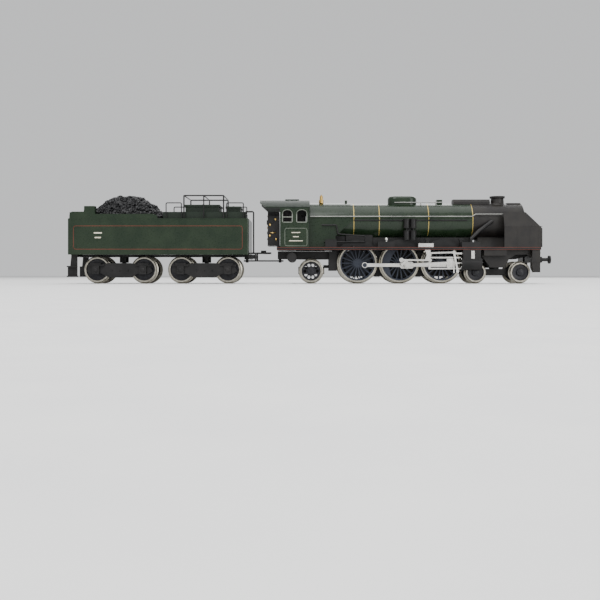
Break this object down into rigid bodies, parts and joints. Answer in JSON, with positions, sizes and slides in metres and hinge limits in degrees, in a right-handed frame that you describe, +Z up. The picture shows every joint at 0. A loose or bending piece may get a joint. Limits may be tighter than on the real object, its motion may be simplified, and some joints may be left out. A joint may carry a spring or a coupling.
{
  "type": "model steam locomotive",
  "caption": "Small-scale model steam locomotive with its bogie tender, spoked driving wheels, working side rods, smoke deflectors and a coal load.",
  "frame": {"origin": "centre of the footprint at the bottom of the wheel flanges", "axes": "+X forwards along the track, +Y to the locomotive's left, +Z up"},
  "size_m": [0.2718, 0.0332, 0.051],
  "materials": {
    "boiler_green": "satin dark green paint",
    "black_paint": "satin black paint",
    "black_plastic": "matte black plastic",
    "bright_nickel": "bright nickel",
    "wheel_black": "blue-black moulded plastic",
    "wheelset_metal": "dark wheel with bright tread",
    "brass": "bright brass",
    "die_cast": "grey die casting",
    "coal": "matt black coal"
  },
  "bodies": {
    "locomotive": {"chassis_frame": "die_cast", "keeper_plate": "black_plastic", "motor": "die_cast", "boiler_shell": "boiler_green", "smokebox": "black_paint", "chimney": "black_paint", "dome": "boiler_green", "safety_valves": "brass", "handrails": "bright_nickel", "ballast_weight": "die_cast", "running_board": "black_paint", "air_pump": "black_paint", "boiler_pipes": "black_paint", "side_fittings": "bright_nickel", "cab_shell": "boiler_green", "cab_roof": "boiler_green", "backhead": "black_plastic", "smoke_deflectors": "black_paint", "buffer_beam": "black_plastic", "front_buffers": "black_plastic", "cylinders": "black_paint", "slide_bars": "bright_nickel", "valve_gear": "bright_nickel"},
    "motor_shaft": {"motor_pinion": "brass"},
    "driver_rear": {"driver_rear_wheels": "wheel_black", "driver_rear_tyres": "bright_nickel"},
    "driver_main": {"driver_main_wheels": "wheel_black", "driver_main_tyres": "bright_nickel", "return_cranks": "bright_nickel"},
    "driver_front": {"driver_front_wheels": "wheel_black", "driver_front_tyres": "bright_nickel"},
    "coupling_rod_near": {"coupling_rod_near": "bright_nickel"},
    "main_rod_near": {"main_rod_near": "bright_nickel"},
    "eccentric_rod_near": {"eccentric_rod_near": "bright_nickel"},
    "crank_disc_near": {"crank_disc_near": "bright_nickel"},
    "crosshead_near": {"crosshead_near": "bright_nickel"},
    "coupling_rod_far": {"coupling_rod_far": "bright_nickel"},
    "main_rod_far": {"main_rod_far": "bright_nickel"},
    "eccentric_rod_far": {"eccentric_rod_far": "bright_nickel"},
    "crank_disc_far": {"crank_disc_far": "bright_nickel"},
    "crosshead_far": {"crosshead_far": "bright_nickel"},
    "front_bogie": {"front_bogie_frame": "black_plastic"},
    "bogie_wheelset_front": {"bogie_wheelset_front": "wheelset_metal"},
    "bogie_wheelset_rear": {"bogie_wheelset_rear": "wheelset_metal"},
    "trailing_truck": {"trailing_truck_frame": "black_plastic"},
    "trailing_wheelset": {"trailing_wheelset": "wheelset_metal"},
    "drawbar": {"drawbar": "black_plastic"},
    "tender": {"tender_body": "boiler_green", "tender_coal": "coal", "tender_deck": "black_paint", "tender_rails": "black_paint", "tender_chassis": "black_plastic", "tender_weight": "die_cast"},
    "tender_coupler": {"tender_coupler": "black_plastic"},
    "tender_bogie_outer": {"tender_bogie_outer": "black_plastic"},
    "tender_wheelset_outer_a": {"tender_wheelset_outer_a": "wheelset_metal"},
    "tender_wheelset_outer_b": {"tender_wheelset_outer_b": "wheelset_metal"},
    "tender_bogie_inner": {"tender_bogie_inner": "black_plastic"},
    "tender_wheelset_inner_a": {"tender_wheelset_inner_a": "wheelset_metal"},
    "tender_wheelset_inner_b": {"tender_wheelset_inner_b": "wheelset_metal"}
  },
  "joints": [
    {"name": "main_driver_spin", "type": "hinge", "parent": "locomotive", "child": "driver_main", "pos_m": [0.0508, 0, 0.0116], "axis": [0, 1, 0], "continuous": true},
    {"name": "rear_driver_spin", "type": "hinge", "parent": "locomotive", "child": "driver_rear", "pos_m": [0.0271, 0, 0.0116], "axis": [0, 1, 0], "continuous": true},
    {"name": "front_driver_spin", "type": "hinge", "parent": "locomotive", "child": "driver_front", "pos_m": [0.0745, 0, 0.0116], "axis": [0, 1, 0], "continuous": true},
    {"name": "motor_spin", "type": "hinge", "parent": "locomotive", "child": "motor_shaft", "pos_m": [0.0271, 0, 0.0226], "axis": [0, 1, 0], "continuous": true},
    {"name": "coupling_rod_near_turn", "type": "hinge", "parent": "driver_main", "child": "coupling_rod_near", "pos_m": [0.05479, -0.011, 0.01046], "axis": [0, 1, 0], "continuous": true},
    {"name": "main_rod_near_turn", "type": "hinge", "parent": "driver_main", "child": "main_rod_near", "pos_m": [0.05479, -0.013, 0.01046], "axis": [0, 1, 0], "continuous": true},
    {"name": "eccentric_rod_near_turn", "type": "hinge", "parent": "driver_main", "child": "eccentric_rod_near", "pos_m": [0.05136, -0.0145, 0.01331], "axis": [0, 1, 0], "continuous": true},
    {"name": "crank_disc_near_turn", "type": "hinge", "parent": "driver_main", "child": "crank_disc_near", "pos_m": [0.05279, -0.01, 0.01103], "axis": [0, 1, 0], "continuous": true},
    {"name": "crosshead_near_stroke", "type": "hinge", "parent": "crank_disc_near", "child": "crosshead_near", "pos_m": [0.05479, -0.01, 0.0116], "axis": [0, 1, 0], "continuous": true},
    {"name": "coupling_rod_far_turn", "type": "hinge", "parent": "driver_main", "child": "coupling_rod_far", "pos_m": [0.05194, 0.011, 0.01559], "axis": [0, 1, 0], "continuous": true},
    {"name": "main_rod_far_turn", "type": "hinge", "parent": "driver_main", "child": "main_rod_far", "pos_m": [0.05194, 0.013, 0.01559], "axis": [0, 1, 0], "continuous": true},
    {"name": "eccentric_rod_far_turn", "type": "hinge", "parent": "driver_main", "child": "eccentric_rod_far", "pos_m": [0.04909, 0.0145, 0.01216], "axis": [0, 1, 0], "continuous": true},
    {"name": "crank_disc_far_turn", "type": "hinge", "parent": "driver_main", "child": "crank_disc_far", "pos_m": [0.05137, 0.01, 0.01359], "axis": [0, 1, 0], "continuous": true},
    {"name": "crosshead_far_stroke", "type": "hinge", "parent": "crank_disc_far", "child": "crosshead_far", "pos_m": [0.05194, 0.01, 0.0116], "axis": [0, 1, 0], "continuous": true},
    {"name": "front_bogie_swivel", "type": "hinge", "parent": "locomotive", "child": "front_bogie", "pos_m": [0.1065, 0, 0.01], "axis": [0, 0, 1], "range_deg": [-2.5, 2.5]},
    {"name": "bogie_wheelset_rear_spin", "type": "hinge", "parent": "front_bogie", "child": "bogie_wheelset_rear", "pos_m": [0.0939, 0, 0.0064], "axis": [0, 1, 0], "continuous": true},
    {"name": "bogie_wheelset_front_spin", "type": "hinge", "parent": "front_bogie", "child": "bogie_wheelset_front", "pos_m": [0.1191, 0, 0.0064], "axis": [0, 1, 0], "continuous": true},
    {"name": "trailing_truck_swivel", "type": "hinge", "parent": "locomotive", "child": "trailing_truck", "pos_m": [0.014, 0, 0.0097], "axis": [0, 0, 1], "range_deg": [-4, 4]},
    {"name": "trailing_wheelset_spin", "type": "hinge", "parent": "trailing_truck", "child": "trailing_wheelset", "pos_m": [0.0008, 0, 0.0071], "axis": [0, 1, 0], "continuous": true},
    {"name": "drawbar_swivel", "type": "hinge", "parent": "locomotive", "child": "drawbar", "pos_m": [-0.017, 0, 0.013], "axis": [0, 0, 1], "range_deg": [-8, 8]},
    {"name": "tender_swivel", "type": "hinge", "parent": "drawbar", "child": "tender", "pos_m": [-0.036, 0, 0.013], "axis": [0, 0, 1], "range_deg": [-8, 8]},
    {"name": "tender_coupler_swivel", "type": "hinge", "parent": "tender", "child": "tender_coupler", "pos_m": [-0.0322, 0, 0.0174], "axis": [0, 0, 1], "range_deg": [-8, 8]},
    {"name": "tender_bogie_outer_swivel", "type": "hinge", "parent": "tender", "child": "tender_bogie_outer", "pos_m": [-0.107, 0, 0.009], "axis": [0, 0, 1], "range_deg": [-6, 6]},
    {"name": "tender_wheelset_outer_a_spin", "type": "hinge", "parent": "tender_bogie_outer", "child": "tender_wheelset_outer_a", "pos_m": [-0.12025, 0, 0.0079], "axis": [0, 1, 0], "continuous": true},
    {"name": "tender_wheelset_outer_b_spin", "type": "hinge", "parent": "tender_bogie_outer", "child": "tender_wheelset_outer_b", "pos_m": [-0.09375, 0, 0.0079], "axis": [0, 1, 0], "continuous": true},
    {"name": "tender_bogie_inner_swivel", "type": "hinge", "parent": "tender", "child": "tender_bogie_inner", "pos_m": [-0.0594, 0, 0.009], "axis": [0, 0, 1], "range_deg": [-6, 6]},
    {"name": "tender_wheelset_inner_a_spin", "type": "hinge", "parent": "tender_bogie_inner", "child": "tender_wheelset_inner_a", "pos_m": [-0.07265, 0, 0.0079], "axis": [0, 1, 0], "continuous": true},
    {"name": "tender_wheelset_inner_b_spin", "type": "hinge", "parent": "tender_bogie_inner", "child": "tender_wheelset_inner_b", "pos_m": [-0.04615, 0, 0.0079], "axis": [0, 1, 0], "continuous": true}
  ],
  "couplings": [
    {"joint": "rear_driver_spin", "follows": "main_driver_spin", "ratio": 1},
    {"joint": "front_driver_spin", "follows": "main_driver_spin", "ratio": 1},
    {"joint": "motor_spin", "follows": "main_driver_spin", "ratio": -2.6667},
    {"joint": "coupling_rod_near_turn", "follows": "main_driver_spin", "ratio": -1},
    {"joint": "main_rod_near_turn", "follows": "main_driver_spin", "ratio": -1},
    {"joint": "eccentric_rod_near_turn", "follows": "main_driver_spin", "ratio": -1},
    {"joint": "crank_disc_near_turn", "follows": "main_driver_spin", "ratio": -2},
    {"joint": "crosshead_near_stroke", "follows": "main_driver_spin", "ratio": 1},
    {"joint": "coupling_rod_far_turn", "follows": "main_driver_spin", "ratio": -1},
    {"joint": "main_rod_far_turn", "follows": "main_driver_spin", "ratio": -1},
    {"joint": "eccentric_rod_far_turn", "follows": "main_driver_spin", "ratio": -1},
    {"joint": "crank_disc_far_turn", "follows": "main_driver_spin", "ratio": -2},
    {"joint": "crosshead_far_stroke", "follows": "main_driver_spin", "ratio": 1}
  ]
}
